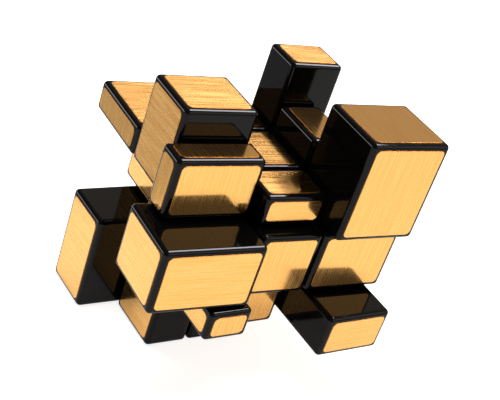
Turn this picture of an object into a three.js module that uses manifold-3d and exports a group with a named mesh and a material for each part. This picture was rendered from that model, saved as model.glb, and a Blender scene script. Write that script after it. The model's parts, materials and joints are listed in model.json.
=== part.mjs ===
// A mirror-block twisty puzzle in a scrambled state: a cube of 3 x 3 x 3 blocks whose six solved
// faces stand at six different distances from the core, so that turning it changes its shape.
// Millimetres, +Z up. The origin is the middle of the bottom centre block's outer face, straight
// below the core. The puzzle stands on that face with the core's screws along X, Y and Z.
import * as THREE from "three";
import { RoundedBoxGeometry } from "three/addons/geometries/RoundedBoxGeometry.js";
import { mergeVertices } from "three/addons/utils/BufferGeometryUtils.js";
import Module from "manifold-3d";

const wasm = await Module();
wasm.setup();

// ---- Driving dimensions ----

const SOLVED_EDGE = 57; // the solved puzzle is a cube of this size
const SLICE = 19; // thickness of the three middle slices
const FACE_STEP = 4; // from each solved face's distance to the next
const BOTTOM_TURN = THREE.MathUtils.degToRad(3.3); // the bottom layer stands turned by this much

const SEAM = 0.5; // running gap between neighbouring blocks
const SEAT = 0.15; // gap between pieces that are fastened together
const EDGE_RADIUS = 0.8; // rounding of every block's edges

// The boundary of a layer steps inwards at two spheres about the core. Outside NECK_BALL it is the
// flat cut at half a slice, then the neck's cut down to FOOT_BALL, then the foot's cut.
const HALF_SLICE = SLICE / 2;
const NECK_BALL = 19.4;
const NECK_CUT = 7.6;
const FOOT_BALL = 16;
const FOOT_CUT = 5.5;
const FOOT_INNER_BALL = 10.5; // the feet end here, clear of the core
const BALL_SEGMENTS = 20;
const FAR = 60; // beyond every block

const CORE_BALL = 5.5;
const ARM_RADIUS = 3.3;
const ARM_END = 8.5; // from the core's middle
const PILOT_RADIUS = 1.25;
const PILOT_FLOOR = 3.2;

const CAP_THICKNESS = 1.4;
const CAP_BOSS_HEIGHT = 0.6; // the boss centres the cap in the screw well
const WELL_RADIUS = 3.2;
const WELL_FLOOR = 10.6;
const SCREW_HOLE_RADIUS = 1.45;
const STALK_BOTTOM = 8.8; // just above the core's arm
const CAP_GROOVE = 0.3;

const SCREW_TIP = 3.6;
const TIP_LENGTH = 1;
const SHANK_RADIUS = 1.1;
const HEAD_RADIUS = 2.6;
const HEAD_BOTTOM = 14.2;
const HEAD_HEIGHT = 1.8;
const HEAD_BEVEL = 0.6;
const SLOT_WIDTH = 0.6;
const SLOT_LENGTH = 3.4;
const SLOT_DEPTH = 0.9;
const WASHER_INNER = 1.3;
const WASHER_OUTER = 2.8;
const WASHER_THICKNESS = 0.4;
const WIRE_RADIUS = 0.3;
const COIL_RADIUS = 2.1;
const COIL_TURNS = 3;
const STEPS_PER_TURN = 8;
const ROUND_SEGMENTS = 12;
const WELL_SEGMENTS = 16;

// Distance of each solved face from the core's middle. Opposite faces add up to SOLVED_EDGE.
const NEAREST_FACE = (SOLVED_EDGE - 5 * FACE_STEP) / 2;
const FACE_ORDER = ["up", "left", "front", "back", "right", "down"];
const FACE_DISTANCE = Object.fromEntries(
  FACE_ORDER.map((face, step) => [face, NEAREST_FACE + step * FACE_STEP]),
);
const CORE_HEIGHT = FACE_DISTANCE.down;

// ---- The scramble ----

// Where each block sits, as one step along X (right), Y (back) and Z (top) from the core, and which
// solved face each of its tiles belongs to. The arrangement can be reached by turning the layers.
const CORNERS = {
  corner_top_back_left: { seat: [-1, 1, 1], tiles: ["back", "right", "up"] },
  corner_top_front_left: { seat: [-1, -1, 1], tiles: ["right", "up", "front"] },
  corner_top_back_right: { seat: [1, 1, 1], tiles: ["front", "left", "down"] },
  corner_top_front_right: { seat: [1, -1, 1], tiles: ["right", "back", "down"] },
  corner_bottom_back_left: { seat: [-1, 1, -1], tiles: ["right", "front", "down"] },
  corner_bottom_front_left: { seat: [-1, -1, -1], tiles: ["left", "back", "up"] },
  corner_bottom_front_right: { seat: [1, -1, -1], tiles: ["back", "down", "left"] },
  corner_bottom_back_right: { seat: [1, 1, -1], tiles: ["up", "front", "left"] },
};
const EDGES = {
  edge_top_left: { seat: [-1, 0, 1], tiles: ["back", null, "right"] },
  edge_top_back: { seat: [0, 1, 1], tiles: [null, "right", "up"] },
  edge_top_front: { seat: [0, -1, 1], tiles: [null, "left", "up"] },
  edge_top_right: { seat: [1, 0, 1], tiles: ["left", null, "front"] },
  edge_back_left: { seat: [-1, 1, 0], tiles: ["up", "back", null] },
  edge_front_left: { seat: [-1, -1, 0], tiles: ["down", "back", null] },
  edge_front_right: { seat: [1, -1, 0], tiles: ["right", "front", null] },
  edge_back_right: { seat: [1, 1, 0], tiles: ["right", "down", null] },
  edge_bottom_left: { seat: [-1, 0, -1], tiles: ["left", null, "down"] },
  edge_bottom_front: { seat: [0, -1, -1], tiles: [null, "up", "front"] },
  edge_bottom_back: { seat: [0, 1, -1], tiles: [null, "front", "down"] },
  edge_bottom_right: { seat: [1, 0, -1], tiles: ["left", null, "back"] },
};
const CENTRES = {
  top: { seat: [0, 0, 1], tiles: [null, null, "up"] },
  bottom: { seat: [0, 0, -1], tiles: [null, null, "down"] },
  left: { seat: [-1, 0, 0], tiles: ["left", null, null] },
  right: { seat: [1, 0, 0], tiles: ["right", null, null] },
  front: { seat: [0, -1, 0], tiles: [null, "front", null] },
  back: { seat: [0, 1, 0], tiles: [null, "back", null] },
};

// ---- Materials ----

const BLACK_PLASTIC = new THREE.MeshStandardMaterial({
  color: 0x0b0a0a,
  roughness: 0.12,
  metalness: 0,
});
const CORE_PLASTIC = new THREE.MeshStandardMaterial({
  color: 0xd9d6cd,
  roughness: 0.5,
  metalness: 0,
});
const STEEL = new THREE.MeshStandardMaterial({
  color: 0xb9bcc0,
  roughness: 0.3,
  metalness: 1,
});

// ---- Solids and geometries ----

function solidOf(geometry) {
  const bare = geometry.clone();
  bare.deleteAttribute("normal");
  bare.deleteAttribute("uv");
  const merged = mergeVertices(bare, 1e-4);
  return new wasm.Manifold(
    new wasm.Mesh({
      numProp: 3,
      vertProperties: merged.getAttribute("position").array,
      triVerts: new Uint32Array(merged.index.array),
    }),
  );
}

function geometryOf(solid) {
  const mesh = solid.getMesh();
  const geometry = new THREE.BufferGeometry();
  geometry.setAttribute("position", new THREE.BufferAttribute(mesh.vertProperties, 3));
  geometry.setIndex(new THREE.BufferAttribute(mesh.triVerts, 1));
  return geometry;
}

function boxBetween(low, high) {
  const size = high.map((value, axis) => value - low[axis]);
  const box = new THREE.BoxGeometry(...size);
  box.translate(...low.map((value, axis) => value + size[axis] / 2));
  return box;
}

function roundedBoxBetween(low, high) {
  const size = high.map((value, axis) => value - low[axis]);
  const box = new RoundedBoxGeometry(...size, 1, EDGE_RADIUS);
  box.translate(...low.map((value, axis) => value + size[axis] / 2));
  return box;
}

// Turns a geometry made along +Z so that it points along one of the six arms.
function turnFromZ(geometry, direction) {
  const turn = new THREE.Quaternion().setFromUnitVectors(
    new THREE.Vector3(0, 0, 1),
    new THREE.Vector3(...direction),
  );
  return geometry.applyQuaternion(turn);
}

// A lathe whose profile is given as [radius, height along +Z].
function latheAlongZ(profile, segments) {
  const points = profile.map(([radius, height]) => new THREE.Vector2(radius, height));
  const lathe = new THREE.LatheGeometry(points, segments);
  return lathe.rotateX(Math.PI / 2);
}

// ---- The layers ----

// The space that one layer fills, as a solid of revolution about its own arm. A positive inset
// makes it smaller all round, and a negative one makes it larger.
function layerSpace(direction, inset) {
  const radiusAt = (ball, cut) => Math.sqrt((ball - inset) ** 2 - (cut + inset) ** 2);
  const profile = [
    [0, FOOT_CUT + inset],
    [radiusAt(FOOT_BALL, FOOT_CUT), FOOT_CUT + inset],
    [radiusAt(FOOT_BALL, NECK_CUT), NECK_CUT + inset],
    [radiusAt(NECK_BALL, NECK_CUT), NECK_CUT + inset],
    [radiusAt(NECK_BALL, HALF_SLICE), HALF_SLICE + inset],
    [FAR, HALF_SLICE + inset],
    [FAR, FAR],
    [0, FAR],
  ];
  return solidOf(turnFromZ(latheAlongZ(profile, BALL_SEGMENTS), direction));
}

const AXES = [0, 1, 2];
const alongAxis = (axis, sign) => AXES.map((other) => (other === axis ? sign : 0));
const LAYERS = AXES.flatMap((axis) =>
  [-1, 1].map((sign) => ({
    axis,
    sign,
    own: layerSpace(alongAxis(axis, sign), SEAM / 2),
    others: layerSpace(alongAxis(axis, sign), -SEAM / 2),
  })),
);
const CORE_CLEARANCE = solidOf(new THREE.IcosahedronGeometry(FOOT_INNER_BALL, 2));

// A block is cut to the layers that it belongs to, and away from all the others.
function fitBetweenLayers(solid, seat) {
  let fitted = solid;
  for (const layer of LAYERS) {
    if (seat[layer.axis] === layer.sign) {
      fitted = fitted.intersect(layer.own);
    } else if (seat[layer.axis] === 0) {
      fitted = fitted.subtract(layer.others);
    }
  }
  return fitted;
}

// Lowest and highest corner of a block. Along an axis where it sits in the middle slice it spans
// the slice, and along the others it runs from the cut to its tile's distance from the core.
function blockExtent({ seat, tiles }, inner, middleHalf, outerOf) {
  const low = [];
  const high = [];
  for (const axis of AXES) {
    if (seat[axis] === 0) {
      low.push(-middleHalf);
      high.push(middleHalf);
    } else {
      const ends = [seat[axis] * inner, seat[axis] * outerOf(tiles[axis])];
      low.push(Math.min(...ends));
      high.push(Math.max(...ends));
    }
  }
  return [low, high];
}

const distanceOf = (tile) => FACE_DISTANCE[tile];
const MECHANISM_REACH = () => FOOT_BALL;
const FLAT_HALF = HALF_SLICE - SEAM / 2;

// ---- The pieces ----

// A corner or an edge: the block that shows, the neck under it, and the foot that its neighbours
// hold down. The foot ends on a ball round the core.
function movingBlock(block) {
  const shown = blockExtent(block, HALF_SLICE + SEAM / 2, FLAT_HALF, distanceOf);
  const hidden = blockExtent(block, FOOT_CUT, FLAT_HALF, MECHANISM_REACH);
  const whole = solidOf(roundedBoxBetween(...shown)).add(solidOf(boxBetween(...hidden)));
  return geometryOf(fitBetweenLayers(whole, block.seat).subtract(CORE_CLEARANCE));
}

// A centre's own space runs from just above the core's arm to a plane at the given distance.
function centreBox(distance, bottom, makeBox) {
  return makeBox([-FLAT_HALF, -FLAT_HALF, bottom], [FLAT_HALF, FLAT_HALF, distance]);
}

// The base of a centre: a square stalk on the core's arm, with a well for the spring and the
// screw's head, carrying the block that shows.
function centreBase({ seat, tiles }) {
  const top = distanceOf(tiles.find(Boolean)) - CAP_THICKNESS - SEAT;
  const block = turnFromZ(centreBox(top + EDGE_RADIUS, STALK_BOTTOM, roundedBoxBetween), seat);
  const trim = turnFromZ(boxBetween([-FAR, -FAR, STALK_BOTTOM], [FAR, FAR, top]), seat);
  const stalkHalf = FOOT_CUT - SEAM / 2;
  const stalk = turnFromZ(
    boxBetween([-stalkHalf, -stalkHalf, STALK_BOTTOM], [stalkHalf, stalkHalf, WELL_FLOOR]),
    seat,
  );
  const well = turnFromZ(
    latheAlongZ(
      [
        [0, STALK_BOTTOM - 1],
        [SCREW_HOLE_RADIUS, STALK_BOTTOM - 1],
        [SCREW_HOLE_RADIUS, WELL_FLOOR],
        [WELL_RADIUS, WELL_FLOOR],
        [WELL_RADIUS, FAR],
        [0, FAR],
      ],
      WELL_SEGMENTS,
    ),
    seat,
  );
  const shaped = fitBetweenLayers(solidOf(block).intersect(solidOf(trim)).add(solidOf(stalk)), seat);
  return geometryOf(shaped.subtract(solidOf(well)));
}

// The cap that hides the screw: a square lid with a low round boss under it.
function centreCap({ seat, tiles }) {
  const outer = distanceOf(tiles.find(Boolean));
  const bottom = outer - CAP_THICKNESS;
  const lid = turnFromZ(centreBox(outer, bottom - EDGE_RADIUS, roundedBoxBetween), seat);
  const trim = turnFromZ(boxBetween([-FAR, -FAR, bottom], [FAR, FAR, FAR]), seat);
  const boss = turnFromZ(
    latheAlongZ(
      [
        [0, bottom - CAP_BOSS_HEIGHT],
        [WELL_RADIUS - CAP_GROOVE, bottom - CAP_BOSS_HEIGHT],
        [WELL_RADIUS - CAP_GROOVE, bottom + CAP_THICKNESS / 2],
        [0, bottom + CAP_THICKNESS / 2],
      ],
      WELL_SEGMENTS,
    ),
    seat,
  );
  return geometryOf(solidOf(lid).intersect(solidOf(trim)).add(solidOf(boss)));
}

// The six-armed core, with a blind pilot hole for a screw in each arm.
function coreSpider() {
  let core = solidOf(new THREE.SphereGeometry(CORE_BALL, BALL_SEGMENTS, ROUND_SEGMENTS));
  for (const { seat } of Object.values(CENTRES)) {
    const arm = latheAlongZ(
      [[0, 0], [ARM_RADIUS, 0], [ARM_RADIUS, ARM_END], [0, ARM_END]],
      ROUND_SEGMENTS,
    );
    core = core.add(solidOf(turnFromZ(arm, seat)));
  }
  for (const { seat } of Object.values(CENTRES)) {
    const pilot = latheAlongZ(
      [[0, PILOT_FLOOR], [PILOT_RADIUS, PILOT_FLOOR], [PILOT_RADIUS, FAR], [0, FAR]],
      ROUND_SEGMENTS,
    );
    core = core.subtract(solidOf(turnFromZ(pilot, seat)));
  }
  return geometryOf(core);
}

// ---- The fastenings, each made along +Z from the core's middle and then turned to its arm ----

// A pan-head screw with a cross slot. It stands in the arm's pilot hole.
function centreScrew({ seat }) {
  const headTop = HEAD_BOTTOM + HEAD_HEIGHT;
  const body = latheAlongZ(
    [
      [0, SCREW_TIP],
      [SHANK_RADIUS / 2, SCREW_TIP],
      [SHANK_RADIUS, SCREW_TIP + TIP_LENGTH],
      [SHANK_RADIUS, HEAD_BOTTOM],
      [HEAD_RADIUS, HEAD_BOTTOM],
      [HEAD_RADIUS, headTop - HEAD_BEVEL],
      [HEAD_RADIUS - HEAD_BEVEL, headTop],
      [0, headTop],
    ],
    ROUND_SEGMENTS,
  );
  let screw = solidOf(turnFromZ(body, seat));
  const slotHalves = [
    [SLOT_LENGTH / 2, SLOT_WIDTH / 2],
    [SLOT_WIDTH / 2, SLOT_LENGTH / 2],
  ];
  for (const [halfX, halfY] of slotHalves) {
    const slot = boxBetween([-halfX, -halfY, headTop - SLOT_DEPTH], [halfX, halfY, FAR]);
    screw = screw.subtract(solidOf(turnFromZ(slot, seat)));
  }
  return geometryOf(screw);
}

function centreWasher({ seat }) {
  const top = HEAD_BOTTOM - SEAT;
  const bottom = top - WASHER_THICKNESS;
  const ring = latheAlongZ(
    [
      [WASHER_INNER, bottom],
      [WASHER_OUTER, bottom],
      [WASHER_OUTER, top],
      [WASHER_INNER, top],
      [WASHER_INNER, bottom],
    ],
    ROUND_SEGMENTS,
  );
  return turnFromZ(ring, seat);
}

// The line along the middle of a spring's wire.
class CoilLine extends THREE.Curve {
  constructor(bottom, top) {
    super();
    this.bottom = bottom;
    this.top = top;
  }

  getPoint(t, target = new THREE.Vector3()) {
    const angle = t * COIL_TURNS * 2 * Math.PI;
    return target.set(
      COIL_RADIUS * Math.cos(angle),
      COIL_RADIUS * Math.sin(angle),
      THREE.MathUtils.lerp(this.bottom, this.top, t),
    );
  }
}

// The coil spring that presses the centre's base towards the core.
function centreSpring({ seat }) {
  const bottom = WELL_FLOOR + SEAT + WIRE_RADIUS;
  const top = HEAD_BOTTOM - 2 * SEAT - WASHER_THICKNESS - WIRE_RADIUS;
  const wire = new THREE.Shape().absarc(0, 0, WIRE_RADIUS, 0, 2 * Math.PI);
  const coil = new THREE.ExtrudeGeometry(wire, {
    extrudePath: new CoilLine(bottom, top),
    steps: COIL_TURNS * STEPS_PER_TURN,
    curveSegments: 3,
  });
  return turnFromZ(coil, seat);
}

// ---- The assembly ----

function addPiece(parent, name, geometry, material) {
  const mesh = new THREE.Mesh(geometry, material);
  mesh.name = name;
  parent.add(mesh);
}

// The top and bottom layers turn. Everything else stays with the core.
const core = new THREE.Group();
const topLayer = new THREE.Group();
const bottomLayer = new THREE.Group();
bottomLayer.rotation.z = BOTTOM_TURN;
const layerOf = ({ seat }) => [bottomLayer, core, topLayer][seat[2] + 1];

addPiece(core, "core_spider", coreSpider(), CORE_PLASTIC);
for (const [side, centre] of Object.entries(CENTRES)) {
  addPiece(core, `centre_screw_${side}`, centreScrew(centre), STEEL);
  addPiece(core, `centre_washer_${side}`, centreWasher(centre), STEEL);
  addPiece(core, `centre_spring_${side}`, centreSpring(centre), STEEL);
  addPiece(layerOf(centre), `centre_base_${side}`, centreBase(centre), BLACK_PLASTIC);
  addPiece(layerOf(centre), `centre_cap_${side}`, centreCap(centre), BLACK_PLASTIC);
}
for (const [name, block] of Object.entries({ ...EDGES, ...CORNERS })) {
  addPiece(layerOf(block), name, movingBlock(block), BLACK_PLASTIC);
}

const puzzle = new THREE.Group();
puzzle.add(core, topLayer, bottomLayer);
puzzle.position.z = CORE_HEIGHT;

export default puzzle;
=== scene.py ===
# Looks of the mirror-block twisty puzzle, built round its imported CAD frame.
#
# Every block is made again with finely rounded edges and smooth necks and feet, in the place and
# size that the frame gives, and every outer face gets its own tile of brushed gold foil. The core,
# screws, washers and springs stay as the frame has them, with new materials.
import json
import math
import random

import bmesh
import bpy
from mathutils import Matrix, Vector

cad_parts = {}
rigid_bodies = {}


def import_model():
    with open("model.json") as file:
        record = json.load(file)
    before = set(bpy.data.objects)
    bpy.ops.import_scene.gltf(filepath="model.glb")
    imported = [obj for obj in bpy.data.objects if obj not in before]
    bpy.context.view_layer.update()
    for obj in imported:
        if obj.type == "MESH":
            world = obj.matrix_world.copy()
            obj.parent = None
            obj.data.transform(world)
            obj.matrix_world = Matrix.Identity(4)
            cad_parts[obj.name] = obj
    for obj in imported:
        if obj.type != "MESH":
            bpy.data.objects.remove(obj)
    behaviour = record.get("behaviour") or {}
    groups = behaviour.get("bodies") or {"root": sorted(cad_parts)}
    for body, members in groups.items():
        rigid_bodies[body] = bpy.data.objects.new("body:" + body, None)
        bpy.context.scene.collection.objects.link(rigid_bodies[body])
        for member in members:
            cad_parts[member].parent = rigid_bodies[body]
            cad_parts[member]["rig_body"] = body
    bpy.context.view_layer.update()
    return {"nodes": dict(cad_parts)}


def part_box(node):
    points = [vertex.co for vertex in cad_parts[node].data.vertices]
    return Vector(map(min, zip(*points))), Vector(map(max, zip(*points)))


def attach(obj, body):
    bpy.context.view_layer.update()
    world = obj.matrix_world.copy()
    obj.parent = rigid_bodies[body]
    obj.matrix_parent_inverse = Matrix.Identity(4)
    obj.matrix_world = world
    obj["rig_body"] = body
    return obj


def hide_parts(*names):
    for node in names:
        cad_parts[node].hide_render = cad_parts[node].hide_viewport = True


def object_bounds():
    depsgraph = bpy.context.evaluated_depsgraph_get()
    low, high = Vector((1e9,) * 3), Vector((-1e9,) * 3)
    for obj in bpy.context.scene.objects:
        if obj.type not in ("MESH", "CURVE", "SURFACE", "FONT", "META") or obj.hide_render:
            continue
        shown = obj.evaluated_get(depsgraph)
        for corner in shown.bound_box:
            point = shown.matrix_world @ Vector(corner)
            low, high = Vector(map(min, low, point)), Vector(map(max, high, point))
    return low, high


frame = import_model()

# ---- Dimensions, in metres ----

MM = 0.001
HALF_SLICE = 9.5 * MM  # half the middle slice
SEAM = 0.5 * MM  # running gap between neighbouring blocks
BOTTOM_TURN = math.radians(3.3)  # the bottom layer stands turned by this much
BLOCK_ROUND = 1.3 * MM  # rounding of every block's edges
ROUND_STEPS = 6  # flats across each rounded edge

# A layer's boundary is HALF_SLICE from the core's middle outside the neck ball, NECK_CUT between
# the two balls and FOOT_CUT inside the foot ball. Feet end at the inner ball.
NECK_BALL = 19.4 * MM
NECK_CUT = 7.6 * MM
FOOT_BALL = 16 * MM
FOOT_CUT = 5.5 * MM
FOOT_INNER_BALL = 10.5 * MM
LATHE_SEGMENTS = 64
ARC_STEPS = 4  # along each curved step of a layer's boundary
BALL_STEPS = 24  # from pole to pole of a whole ball
FAR = 60 * MM  # past every block

# The centre pieces: a base with a well for the screw, and a cap over it.
CAP_THICKNESS = 1.4 * MM
CAP_BOSS_HEIGHT = 0.6 * MM
CAP_GROOVE = 0.3 * MM  # between the cap's boss and the wall of the well
WELL_RADIUS = 3.2 * MM
WELL_FLOOR = 10.6 * MM  # from the core's middle
SCREW_HOLE_RADIUS = 1.45 * MM
STALK_BOTTOM = 8.8 * MM  # from the core's middle

TILE_INSET = 1.45 * MM  # from the block's outer planes to the tile's edge
TILE_CORNER = 1.3 * MM  # radius of the tile's corners
TILE_THICKNESS = 0.12 * MM
TILE_BEVEL = 0.11 * MM  # rounding of the tile's outer edge
CORNER_STEPS = 6
BEVEL_STEPS = 3

# ---- The camera: where it looks from, turned so that its right side tilts up ----

CAMERA_HEADING = math.radians(38.35)  # from +Y towards +X
CAMERA_DOWN = math.radians(29.26)
CAMERA_ROLL = math.radians(19.63)
CAMERA_DISTANCE = 290.9 * MM  # from the core's middle, along the view
CAMERA_RIGHT = 3.44 * MM  # the core's middle is this far left of the view's middle
CAMERA_UP = 1.57 * MM  # and this far below it
CAMERA_LENS = 77.5
SENSOR_WIDTH = 36.0

# ---- The stage round it ----

FLOOR_HALF = 4  # metres, from the floor's middle to each side
FLOOR_GAP = 0.02 * MM  # under the lowest tile
FLOOR_GLOW = 0.42  # as reflections show the floor
FLOOR_GLOW_SEEN = 0.85  # as the camera sees it
CARD_X = (-300 * MM, -62 * MM)
CARD_Y = (55 * MM, 500 * MM)
CARD_LIFT = 0.1 * MM  # above the floor
LEFT_WALL = (0.12, 0.11, 0.1)
RIGHT_WALL = (0.47, 0.42, 0.36)
LILAC = (0.94, 0.92, 1.0)
LAMP_POWER = 4  # watts for each square metre of a lamp whose brightness is 1

# ---- Meshes, names and brushing ----

WELD = 0.001 * MM  # points closer than this are merged
SMOOTH_ANGLE = math.radians(32)  # edges that bend less are shaded smooth
FLAT_ANGLE = math.radians(0.4)  # faces that bend less are merged
AXES = (0, 1, 2)
SIDE_WORDS = (("left", "right"), ("front", "back"), ("bottom", "top"))  # low and high, by axis
GRAIN_MAP = "grain"

# The axis that each tile's brushing runs along: the usual one for its side, then the tiles that
# differ, because turning the layers has turned them.
USUAL_GRAIN = {"top": 0, "bottom": 0, "left": 1, "right": 1, "front": 2, "back": 2}
TURNED_GRAIN = {
    ("corner_top_front_right", "top"): 1,
    ("corner_top_front_left", "top"): 1,
    ("edge_top_right", "top"): 1,
    ("corner_top_front_left", "left"): 2,
    ("corner_top_back_left", "left"): 2,
    ("edge_top_front", "front"): 0,
    ("edge_front_left", "front"): 0,
    ("corner_bottom_front_right", "front"): 0,
    ("corner_top_back_right", "right"): 2,
    ("edge_front_right", "right"): 2,
    ("edge_back_left", "back"): 0,
    ("corner_bottom_back_right", "back"): 0,
    ("edge_bottom_back", "bottom"): 1,
    ("corner_bottom_front_left", "bottom"): 1,
}

core_low, core_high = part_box("core_spider")
CORE = (core_low + core_high) / 2
random.seed(57)  # so that each tile's brushing starts at the same place every time


# ---- Meshes ----


def object_from(bm, name, materials=()):
    """Turns a bmesh into a new object in the scene."""
    bmesh.ops.recalc_face_normals(bm, faces=bm.faces)
    mesh = bpy.data.meshes.new(name)
    bm.to_mesh(mesh)
    bm.free()
    for material in materials:
        mesh.materials.append(material)
    made = bpy.data.objects.new(name, mesh)
    bpy.context.scene.collection.objects.link(made)
    return made


def box_between(low, high, rounding=0.0):
    """A closed box, with its edges rounded if a rounding is given."""
    bm = bmesh.new()
    bmesh.ops.create_cube(bm, size=1)
    size = high - low
    for vertex in bm.verts:
        vertex.co = Vector(low[a] + (vertex.co[a] + 0.5) * size[a] for a in AXES)
    if rounding:
        bmesh.ops.bevel(
            bm,
            geom=bm.edges[:],
            offset=rounding,
            segments=ROUND_STEPS,
            profile=0.5,
            affect="EDGES",
        )
    return object_from(bm, "box")


def turned_from_z(direction):
    """The turn that takes the Z axis to the given direction."""
    return Vector((0, 0, 1)).rotation_difference(Vector(direction)).to_matrix().to_4x4()


def lathe(profile, direction):
    """A closed solid of revolution. The profile is (radius, height) from the axis to the axis."""
    bm = bmesh.new()
    rings = []
    for radius, height in profile:
        count = LATHE_SEGMENTS if radius > 0 else 1
        turns = [2 * math.pi * step / LATHE_SEGMENTS for step in range(count)]
        rings.append(
            [bm.verts.new((radius * math.cos(t), radius * math.sin(t), height)) for t in turns]
        )
    for ring, following in zip(rings, rings[1:]):
        for step in range(LATHE_SEGMENTS):
            after = step + 1
            corners = [
                ring[step % len(ring)],
                ring[after % len(ring)],
                following[after % len(following)],
                following[step % len(following)],
            ]
            bm.faces.new(list(dict.fromkeys(corners)))
    bm.transform(turned_from_z(direction))
    return object_from(bm, "round_solid")


def ball(radius):
    """A ball about the origin."""
    profile = [(0, -radius)]
    for step in range(1, BALL_STEPS):
        turn = math.pi * step / BALL_STEPS
        profile.append((radius * math.sin(turn), -radius * math.cos(turn)))
    profile.append((0, radius))
    return lathe(profile, (0, 0, 1))


def combine(target, steps):
    """Joins or cuts target with each (operation, object) in turn, and flattens the result."""
    for operation, other in steps:
        modifier = target.modifiers.new(operation.lower(), "BOOLEAN")
        modifier.operation = operation
        modifier.object = other
        modifier.solver = "MANIFOLD"
    bpy.context.view_layer.update()
    result = target.evaluated_get(bpy.context.evaluated_depsgraph_get())
    mesh = bpy.data.meshes.new_from_object(result)
    target.modifiers.clear()
    target.data = mesh


def finish_surface(made, material):
    """Merges flat faces, smooths the curved ones and keeps the flats' shading flat."""
    mesh = made.data
    bm = bmesh.new()
    bm.from_mesh(mesh)
    bmesh.ops.remove_doubles(bm, verts=bm.verts, dist=WELD)
    bmesh.ops.dissolve_limit(
        bm, angle_limit=FLAT_ANGLE, verts=bm.verts, edges=bm.edges, delimit=set()
    )
    for face in bm.faces:
        face.smooth = True
    for edge in bm.edges:
        edge.smooth = len(edge.link_faces) == 2 and edge.calc_face_angle() < SMOOTH_ANGLE
    bm.to_mesh(mesh)
    bm.free()
    mesh.materials.clear()
    mesh.materials.append(material)
    weighted = made.modifiers.new("weighted normals", "WEIGHTED_NORMAL")
    weighted.keep_sharp = True


def remove(*objects):
    """Deletes cutters that have done their work."""
    for unwanted in objects:
        bpy.data.objects.remove(unwanted)


# ---- Where the frame's pieces are ----


def seat_of(name):
    """A piece's place in the puzzle, as one step along X, Y and Z from the core."""
    words = name.split("_")
    return [words.count(high) - words.count(low) for low, high in SIDE_WORDS]


def layer_place(body):
    """From the core's own axes, unturned, to where the body stands."""
    turn = BOTTOM_TURN if body == "bottom_layer" else 0
    return Matrix.Translation(CORE) @ Matrix.Rotation(turn, 4, "Z")


def outer_distances(name):
    """How far the node reaches from the core's middle along each axis, on its own side."""
    node = frame["nodes"][name]
    back = layer_place(node["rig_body"]).inverted()
    points = [back @ vertex.co for vertex in node.data.vertices]
    return [max(abs(point[axis]) for point in points) for axis in AXES]


def space_between(seat, inner, outer, middle):
    """Lowest and highest corner of a box that runs from inner to outer along the seat's axes."""
    low, high = Vector(), Vector()
    for axis in AXES:
        ends = (-middle, middle)
        if seat[axis]:
            ends = sorted((seat[axis] * inner, seat[axis] * outer[axis]))
        low[axis], high[axis] = ends
    return low, high


# ---- The layers, as solids of revolution about the six arms ----


def arc_on_ball(radius, low, high):
    """Profile points on a ball about the core, from one height to another."""
    heights = [low + (high - low) * step / ARC_STEPS for step in range(ARC_STEPS + 1)]
    return [(math.sqrt(radius**2 - height**2), height) for height in heights]


def layer_space(direction, inset):
    """The space of one layer, made smaller all round by inset."""
    foot, neck, cut = FOOT_CUT + inset, NECK_CUT + inset, HALF_SLICE + inset
    profile = [
        (0, foot),
        *arc_on_ball(FOOT_BALL - inset, foot, neck),
        *arc_on_ball(NECK_BALL - inset, neck, cut),
        (FAR, cut),
        (FAR, FAR),
        (0, FAR),
    ]
    return lathe(profile, direction)


def make_layers():
    """For each side, its direction with the space its own blocks keep and the one others avoid."""
    layers = []
    for axis in AXES:
        for sign in (-1, 1):
            direction = [sign if other == axis else 0 for other in AXES]
            own = layer_space(direction, SEAM / 2)
            others = layer_space(direction, -SEAM / 2)
            layers.append((axis, sign, own, others))
    return layers


def layer_cuts(seat, layers):
    """The cuts that fit a piece between the layers it belongs to and the ones it avoids."""
    cuts = [("INTERSECT", own) for axis, sign, own, others in layers if seat[axis] == sign]
    cuts += [("DIFFERENCE", others) for axis, sign, own, others in layers if seat[axis] == 0]
    return cuts


# ---- Materials ----


def new_material(name):
    """A new material, with its node tree and its shader."""
    material = bpy.data.materials.new(name)
    material.use_nodes = True
    return material, material.node_tree, material.node_tree.nodes["Principled BSDF"]


def noise(tree, vector, scale, detail, roughness=0.5):
    """Noise from 0 to 1 at the given place."""
    made = tree.nodes.new("ShaderNodeTexNoise")
    made.inputs["Scale"].default_value = scale
    made.inputs["Detail"].default_value = detail
    made.inputs["Roughness"].default_value = roughness
    tree.links.new(vector, made.inputs["Vector"])
    return made.outputs["Fac"]


def mapped(tree, vector, scale):
    """The place, scaled by its own factor along each axis."""
    made = tree.nodes.new("ShaderNodeMapping")
    made.inputs["Scale"].default_value = scale
    tree.links.new(vector, made.inputs["Vector"])
    return made.outputs["Vector"]


def ramp(tree, value, stops):
    """A colour ramp from (place, (red, green, blue)) stops."""
    made = tree.nodes.new("ShaderNodeValToRGB")
    elements = made.color_ramp.elements
    while len(elements) < len(stops):
        elements.new(0.5)
    for element, (place, colour) in zip(elements, stops):
        element.position = place
        element.color = (*colour, 1)
    tree.links.new(value, made.inputs["Fac"])
    return made.outputs["Color"]


def ranged(tree, value, low, high, start=0.3, end=0.7):
    """Value, spread from between start and end over low to high."""
    made = tree.nodes.new("ShaderNodeMapRange")
    made.inputs["From Min"].default_value = start
    made.inputs["From Max"].default_value = end
    made.inputs["To Min"].default_value = low
    made.inputs["To Max"].default_value = high
    tree.links.new(value, made.inputs["Value"])
    return made.outputs["Result"]


def mixed(tree, first, second, factor):
    """The first value, with a share of the second."""
    made = tree.nodes.new("ShaderNodeMix")
    made.inputs["Factor"].default_value = factor
    tree.links.new(first, made.inputs["A"])
    tree.links.new(second, made.inputs["B"])
    return made.outputs["Result"]


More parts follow.
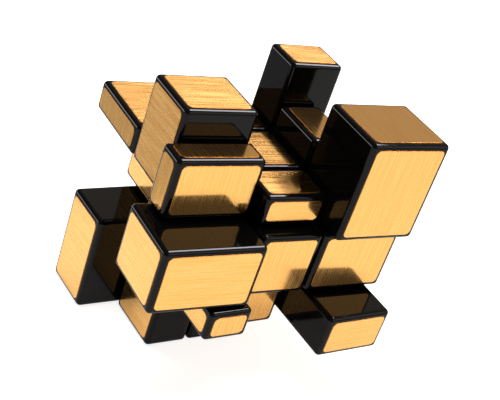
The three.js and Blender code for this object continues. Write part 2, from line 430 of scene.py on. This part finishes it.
def bumped(tree, shader, height, distance, strength):
    """Lets a height from 0 to 1 make the shader's surface uneven."""
    made = tree.nodes.new("ShaderNodeBump")
    made.inputs["Distance"].default_value = distance
    made.inputs["Strength"].default_value = strength
    tree.links.new(height, made.inputs["Height"])
    tree.links.new(made.outputs["Normal"], shader.inputs["Normal"])


def object_point(tree):
    """The place in the object's own axes, in metres."""
    return tree.nodes.new("ShaderNodeTexCoord").outputs["Object"]


def streaks(tree, grain, across, along):
    """Noise drawn out into streaks of about this width and length."""
    return noise(tree, mapped(tree, grain, (1 / across, 1 / along, 1)), 1, 1)


def foil_metal(tree, shader, brushing, deep, pale, roughness):
    """Sets one of the foil's metals. The brushing varies its colour and its roughness."""
    colour = ramp(tree, brushing, [(0.34, deep), (0.58, pale)])
    tree.links.new(colour, shader.inputs["Base Color"])
    tree.links.new(ranged(tree, brushing, *roughness), shader.inputs["Roughness"])
    shader.inputs["Metallic"].default_value = 1
    shader.inputs["Anisotropic"].default_value = 1
    tangent = tree.nodes.new("ShaderNodeTangent")
    tangent.direction_type = "UV_MAP"
    tangent.uv_map = GRAIN_MAP
    tree.links.new(tangent.outputs["Tangent"], shader.inputs["Tangent"])


def brushed_foil():
    """Gold foil, brushed along the grain map's V, with thin lines and soft bands.

    Most of it mirrors sharply. The rest, its finest scratches, spreads a lamp's light across the
    grain, and comes first in the mix because an exported model gets the first one's roughness.
    """
    material, tree, mirror = new_material("brushed_gold_foil")
    scratches = tree.nodes.new("ShaderNodeBsdfPrincipled")
    grain = tree.nodes.new("ShaderNodeUVMap")
    grain.uv_map = GRAIN_MAP
    lines = streaks(tree, grain.outputs["UV"], 0.32 * MM, 16 * MM)
    bands = streaks(tree, grain.outputs["UV"], 1.6 * MM, 30 * MM)
    brushing = mixed(tree, lines, bands, 0.25)
    foil_metal(tree, mirror, brushing, (0.94, 0.49, 0.13), (1.0, 0.55, 0.165), (0.075, 0.09))
    foil_metal(tree, scratches, brushing, (0.8, 0.36, 0.085), (1.0, 0.58, 0.18), (0.29, 0.33))
    mirror_share = ranged(tree, brushing, 0.81, 0.69, start=0.36, end=0.6)
    mix = tree.nodes.new("ShaderNodeMixShader")
    tree.links.new(mirror_share, mix.inputs["Fac"])
    tree.links.new(scratches.outputs["BSDF"], mix.inputs[1])
    tree.links.new(mirror.outputs["BSDF"], mix.inputs[2])
    tree.links.new(mix.outputs["Shader"], tree.nodes["Material Output"].inputs["Surface"])
    return material


def foil_edge():
    """The foil's cut and rolled edge, deeper in colour than its face."""
    material, tree, shader = new_material("foil_edge")
    nicks = noise(tree, object_point(tree), 1 / (4 * MM), 2)
    colour = ramp(tree, nicks, [(0.3, (0.52, 0.19, 0.03)), (0.7, (0.64, 0.26, 0.045))])
    tree.links.new(colour, shader.inputs["Base Color"])
    shader.inputs["Metallic"].default_value = 1
    shader.inputs["Roughness"].default_value = 0.5
    return material


def gloss_black():
    """Glossy moulded plastic, very slightly wavy, with faint rubbed patches."""
    material, tree, shader = new_material("gloss_black_plastic")
    point = object_point(tree)
    waves = noise(tree, point, 1 / (7 * MM), 1)
    rubs = noise(tree, point, 1 / (1.2 * MM), 4, 0.6)
    colour = ramp(tree, rubs, [(0.35, (0.0018, 0.0016, 0.0016)), (0.7, (0.0036, 0.0032, 0.0031))])
    tree.links.new(colour, shader.inputs["Base Color"])
    tree.links.new(ranged(tree, rubs, 0.04, 0.09), shader.inputs["Roughness"])
    shader.inputs["Specular IOR Level"].default_value = 0.17
    bumped(tree, shader, waves, 0.05 * MM, 0.25)
    return material


def core_plastic():
    """Matt white nylon of the core."""
    material, tree, shader = new_material("core_nylon")
    mottle = noise(tree, object_point(tree), 1 / (1.5 * MM), 3)
    colour = ramp(tree, mottle, [(0.3, (0.66, 0.63, 0.57)), (0.7, (0.76, 0.74, 0.69))])
    tree.links.new(colour, shader.inputs["Base Color"])
    tree.links.new(ranged(tree, mottle, 0.42, 0.56), shader.inputs["Roughness"])
    bumped(tree, shader, mottle, 0.02 * MM, 0.3)
    return material


def bright_steel():
    """Plated steel of the screws, washers and springs, with fine turning marks."""
    material, tree, shader = new_material("plated_steel")
    marks = noise(tree, object_point(tree), 1 / (0.3 * MM), 3, 0.6)
    colour = ramp(tree, marks, [(0.3, (0.48, 0.49, 0.50)), (0.7, (0.66, 0.67, 0.69))])
    tree.links.new(colour, shader.inputs["Base Color"])
    tree.links.new(ranged(tree, marks, 0.2, 0.36), shader.inputs["Roughness"])
    shader.inputs["Metallic"].default_value = 1
    return material


FOIL = brushed_foil()
FOIL_EDGE = foil_edge()
BLACK = gloss_black()
NYLON = core_plastic()
STEEL = bright_steel()


# ---- The pieces ----


def place_piece(made, name):
    """Moves a finished piece from the core's own axes to its layer's place, and hangs it there."""
    body = frame["nodes"][name]["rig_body"]
    finish_surface(made, BLACK)
    made.data.transform(layer_place(body))
    made.name = f"{name}_shell"
    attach(made, body)
    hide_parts(name)


def moving_block(name, layers, foot_ball):
    """A corner or an edge: the block that shows, the neck under it, and its foot."""
    seat = seat_of(name)
    inner, middle = HALF_SLICE + SEAM / 2, HALF_SLICE - SEAM / 2
    shown = space_between(seat, inner, outer_distances(name), middle)
    hidden = space_between(seat, FOOT_CUT, [FOOT_BALL] * 3, middle)
    foot = box_between(*hidden)
    block = box_between(*shown, rounding=BLOCK_ROUND)
    cuts = [("UNION", foot), *layer_cuts(seat, layers), ("DIFFERENCE", foot_ball)]
    combine(block, cuts)
    remove(foot)
    place_piece(block, name)
    add_tiles(name, seat, shown)


def centre_space(seat, half, bottom, top):
    """Lowest and highest corner of a square post about a centre's arm."""
    return space_between(seat, bottom, [top] * 3, half)


def centre_base(name, layers):
    """The base of a centre: a stalk on the core's arm, with a well for the spring and screw."""
    seat = seat_of(name)
    top = max(outer_distances(name))
    half = HALF_SLICE - SEAM / 2
    low, high = centre_space(seat, half, STALK_BOTTOM, top + BLOCK_ROUND)
    base = box_between(low, high, rounding=BLOCK_ROUND)
    trim = box_between(*centre_space(seat, FAR, STALK_BOTTOM, top))
    stalk_half = FOOT_CUT - SEAM / 2
    stalk = box_between(*centre_space(seat, stalk_half, STALK_BOTTOM, WELL_FLOOR + BLOCK_ROUND))
    well = lathe(
        [
            (0, STALK_BOTTOM - MM),
            (SCREW_HOLE_RADIUS, STALK_BOTTOM - MM),
            (SCREW_HOLE_RADIUS, WELL_FLOOR),
            (WELL_RADIUS, WELL_FLOOR),
            (WELL_RADIUS, FAR),
            (0, FAR),
        ],
        seat,
    )
    cuts = [("INTERSECT", trim), ("UNION", stalk), *layer_cuts(seat, layers)]
    combine(base, [*cuts, ("DIFFERENCE", well)])
    remove(trim, stalk, well)
    place_piece(base, name)


def centre_cap(name):
    """The lid over the screw, with a low round boss under it."""
    seat = seat_of(name)
    top = max(outer_distances(name))
    bottom = top - CAP_THICKNESS
    half = HALF_SLICE - SEAM / 2
    low, high = centre_space(seat, half, bottom - 2 * BLOCK_ROUND, top)
    lid = box_between(low, high, rounding=BLOCK_ROUND)
    trim = box_between(*centre_space(seat, FAR, bottom, FAR))
    boss_radius = WELL_RADIUS - CAP_GROOVE
    boss = lathe(
        [
            (0, bottom - CAP_BOSS_HEIGHT),
            (boss_radius, bottom - CAP_BOSS_HEIGHT),
            (boss_radius, bottom + CAP_THICKNESS / 2),
            (0, bottom + CAP_THICKNESS / 2),
        ],
        seat,
    )
    combine(lid, [("INTERSECT", trim), ("UNION", boss)])
    remove(trim, boss)
    place_piece(lid, name)
    add_tiles(name, seat, (low, high))


def dress_node(name, material):
    """A better material for a node that the frame keeps."""
    node = frame["nodes"][name]
    node.data.materials.clear()
    node.data.materials.append(material)


# ---- The gold tiles ----


def rounded_outline(half_width, half_height, corner):
    """Points round a rectangle with round corners, one after another."""
    points = []
    for quarter in range(4):
        x = (half_width - corner) * (1 if quarter in (0, 3) else -1)
        y = (half_height - corner) * (1 if quarter in (0, 1) else -1)
        for step in range(CORNER_STEPS + 1):
            angle = (quarter + step / CORNER_STEPS) * math.pi / 2
            points.append((x + corner * math.cos(angle), y + corner * math.sin(angle)))
    return points


def tile_rings(half_width, half_height):
    """Outlines of a tile from its back to its face, as (points, height), rolled at the edge."""
    rings = [(rounded_outline(half_width, half_height, TILE_CORNER), 0)]
    for step in range(BEVEL_STEPS + 1):
        angle = step / BEVEL_STEPS * math.pi / 2
        inset = TILE_BEVEL * (1 - math.cos(angle))
        height = TILE_THICKNESS - TILE_BEVEL * (1 - math.sin(angle))
        outline = rounded_outline(half_width - inset, half_height - inset, TILE_CORNER - inset)
        rings.append((outline, height))
    return rings


def tile_solid(name, outlines, middle, outward, across_axis, grain_axis):
    """A closed tile from its outlines, with a grain map in metres from a random start."""
    start = Vector((random.uniform(0, 1), random.uniform(0, 1)))
    bm = bmesh.new()
    uv = bm.loops.layers.uv.new(GRAIN_MAP)
    on_map = {}
    rings = []
    for outline, height in outlines:
        ring = []
        for across, along in outline:
            point = middle + outward * height
            point[across_axis] += across
            point[grain_axis] += along
            vertex = bm.verts.new(point)
            on_map[vertex] = Vector((across, along)) + start
            ring.append(vertex)
        rings.append(ring)
    for ring, following in zip(rings, rings[1:]):
        for step, vertex in enumerate(ring):
            after = (step + 1) % len(ring)
            edge_face = bm.faces.new((vertex, ring[after], following[after], following[step]))
            edge_face.material_index = 1
            edge_face.smooth = True
    bm.faces.new(rings[0])
    bm.faces.new(rings[-1])
    for face in bm.faces:
        for loop in face.loops:
            loop[uv].uv = on_map[loop.vert]
    return object_from(bm, name, (FOIL, FOIL_EDGE))


def add_tile(name, axis, sign, space):
    """One foil tile on the block's face across the given axis."""
    side = SIDE_WORDS[axis][sign > 0]
    grain_axis = TURNED_GRAIN.get((name, side), USUAL_GRAIN[side])
    across_axis = next(other for other in AXES if other not in (axis, grain_axis))
    low, high = space
    middle = (low + high) / 2
    middle[axis] = high[axis] if sign > 0 else low[axis]
    outward = Vector(sign if other == axis else 0 for other in AXES)
    half_width = (high[across_axis] - low[across_axis]) / 2 - TILE_INSET
    half_height = (high[grain_axis] - low[grain_axis]) / 2 - TILE_INSET
    outlines = tile_rings(half_width, half_height)
    tile_name = f"{name}_foil_{side}"
    tile = tile_solid(tile_name, outlines, middle, outward, across_axis, grain_axis)
    tile.modifiers.new("weighted normals", "WEIGHTED_NORMAL")
    body = frame["nodes"][name]["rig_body"]
    tile.data.transform(layer_place(body))
    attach(tile, body)


def add_tiles(name, seat, space):
    """A foil tile on every outer face of a block."""
    for axis in AXES:
        if seat[axis]:
            add_tile(name, axis, seat[axis], space)


# ---- The stage ----


def make_floor(height):
    """A wide plain pale floor. It glows, most of all to the camera, so that shadows stay faint."""
    bm = bmesh.new()
    bmesh.ops.create_grid(bm, x_segments=1, y_segments=1, size=FLOOR_HALF)
    bmesh.ops.translate(bm, verts=bm.verts, vec=(0, 0, height))
    material, tree, shader = new_material("pale_floor")
    grain = noise(tree, object_point(tree), 6, 2)
    colour = ramp(tree, grain, [(0.3, (0.72, 0.72, 0.72)), (0.7, (0.75, 0.75, 0.75))])
    tree.links.new(colour, shader.inputs["Base Color"])
    shader.inputs["Roughness"].default_value = 0.9
    shader.inputs["Specular IOR Level"].default_value = 0
    shader.inputs["Emission Color"].default_value = (1, 1, 1, 1)
    path = tree.nodes.new("ShaderNodeLightPath")
    glow = tree.nodes.new("ShaderNodeMapRange")
    glow.inputs["To Min"].default_value = FLOOR_GLOW
    glow.inputs["To Max"].default_value = FLOOR_GLOW_SEEN
    tree.links.new(path.outputs["Is Camera Ray"], glow.inputs["Value"])
    tree.links.new(glow.outputs["Result"], shader.inputs["Emission Strength"])
    floor = object_from(bm, "floor", (material,))


def make_grey_card(height):
    """A grey card lying at the back left. Only reflections show it."""
    bm = bmesh.new()
    (left, right), (front, back) = CARD_X, CARD_Y
    corners = ((left, front), (right, front), (right, back), (left, back))
    bm.faces.new([bm.verts.new((x, y, height)) for x, y in corners])
    material, tree, shader = new_material("grey_card")
    grain = noise(tree, object_point(tree), 6, 2)
    colour = ramp(tree, grain, [(0.3, (0.42, 0.42, 0.42)), (0.7, (0.46, 0.46, 0.46))])
    tree.links.new(colour, shader.inputs["Emission Color"])
    shader.inputs["Base Color"].default_value = (0, 0, 0, 1)
    shader.inputs["Specular IOR Level"].default_value = 0
    shader.inputs["Emission Strength"].default_value = 1
    card = object_from(bm, "grey_card", (material,))
    card.visible_camera = False
    card.visible_diffuse = False
    card.visible_shadow = False


def facing(direction, along):
    """The turn that points Z along direction, and X as near to along as that allows."""
    z = Vector(direction).normalized()
    y = z.cross(Vector(along)).normalized()
    return Matrix((y.cross(z), y, z)).transposed().to_euler()


def softbox(name, direction, along, distance, size, brightness, tint=(1, 1, 1), for_floor=False):
    """A rectangular lamp that faces the core. Its power follows its size and brightness.

    It is there either to light the floor, or to be mirrored in the puzzle.
    """
    data = bpy.data.lights.new(name, "AREA")
    data.shape = "RECTANGLE"
    data.size, data.size_y = size
    data.energy = brightness * LAMP_POWER * size[0] * size[1]
    data.color = tint
    light = bpy.data.objects.new(name, data)
    light.location = CORE + Vector(direction).normalized() * distance
    light.rotation_euler = facing(direction, along)
    light.visible_camera = False
    light.visible_diffuse = for_floor
    light.visible_glossy = not for_floor
    bpy.context.scene.collection.objects.link(light)


def make_lights():
    """A lamp high on the right, a low strip at the back left, and broad ones above and in front."""
    softbox(
        "high_lamp",
        direction=(0.5, 0.044, 0.866),
        along=(0, 1, 0),
        distance=0.9,
        size=(0.42, 0.28),
        brightness=20,
        tint=LILAC,
    )
    softbox(
        "back_strip",
        direction=(-0.72, 0.69, 0.06),
        along=(0.69, 0.72, 0),
        distance=0.9,
        size=(0.7, 0.16),
        brightness=6,
        tint=LILAC,
    )
    softbox(
        "front_lamp",
        direction=(0.54, -0.68, 0.5),
        along=(0.78, 0.62, 0),
        distance=1.3,
        size=(1.1, 0.6),
        brightness=1,
        tint=LILAC,
    )
    softbox(
        "overhead",
        direction=(-0.05, 0.22, 1.0),
        along=(1, 0, 0),
        distance=1.4,
        size=(1.1, 1.0),
        brightness=4.8,
        for_floor=True,
    )


def make_world():
    """A dim room for the reflections, darker on the left. The camera sees plain white instead."""
    world = bpy.data.worlds.new("room")
    world.use_nodes = True
    tree = world.node_tree
    room = tree.nodes["Background"]
    place = tree.nodes.new("ShaderNodeTexCoord")
    parts = tree.nodes.new("ShaderNodeSeparateXYZ")
    tree.links.new(place.outputs["Generated"], parts.inputs["Vector"])
    side = ranged(tree, parts.outputs["X"], 0, 1, start=-0.4, end=0.4)
    walls = ramp(tree, side, [(0, LEFT_WALL), (1, RIGHT_WALL)])
    tree.links.new(walls, room.inputs["Color"])
    backdrop = tree.nodes.new("ShaderNodeBackground")
    backdrop.inputs["Color"].default_value = (1, 1, 1, 1)
    path = tree.nodes.new("ShaderNodeLightPath")
    mix = tree.nodes.new("ShaderNodeMixShader")
    tree.links.new(path.outputs["Is Camera Ray"], mix.inputs["Fac"])
    tree.links.new(room.outputs["Background"], mix.inputs[1])
    tree.links.new(backdrop.outputs["Background"], mix.inputs[2])
    tree.links.new(mix.outputs["Shader"], tree.nodes["World Output"].inputs["Surface"])
    bpy.context.scene.world = world


def make_camera():
    """The camera, set by its heading, its tilt and where the core lies in its view."""
    data = bpy.data.cameras.new("camera")
    data.lens = CAMERA_LENS
    data.sensor_width = SENSOR_WIDTH
    data.clip_start = 10 * MM
    data.clip_end = 20
    camera = bpy.data.objects.new("camera", data)
    turn = (
        Matrix.Rotation(-CAMERA_HEADING, 4, "Z")
        @ Matrix.Rotation(math.pi / 2 - CAMERA_DOWN, 4, "X")
        @ Matrix.Rotation(CAMERA_ROLL, 4, "Z")
    )
    offset = Matrix.Translation((CAMERA_RIGHT, CAMERA_UP, CAMERA_DISTANCE))
    camera.matrix_world = Matrix.Translation(CORE) @ turn @ offset
    bpy.context.scene.collection.objects.link(camera)
    bpy.context.scene.camera = camera


def make_stage():
    """Floor, card, lights, room and camera."""
    floor_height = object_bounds()[0].z - FLOOR_GAP
    make_floor(floor_height)
    make_grey_card(floor_height + CARD_LIFT)
    make_lights()
    make_world()
    make_camera()
    bpy.context.scene.view_settings.view_transform = "Standard"


# ---- Assembly ----


def make_puzzle():
    """Makes every block, cap and tile, and gives the core and the metal parts their materials."""
    layers = make_layers()
    foot_ball = ball(FOOT_INNER_BALL)
    for name in sorted(frame["nodes"]):
        if name.startswith(("edge_", "corner_")):
            moving_block(name, layers, foot_ball)
        elif name.startswith("centre_base_"):
            centre_base(name, layers)
        elif name.startswith("centre_cap_"):
            centre_cap(name)
        else:
            dress_node(name, NYLON if name == "core_spider" else STEEL)
    for axis, sign, own, others in layers:
        remove(own, others)
    remove(foot_ball)


make_puzzle()
make_stage()
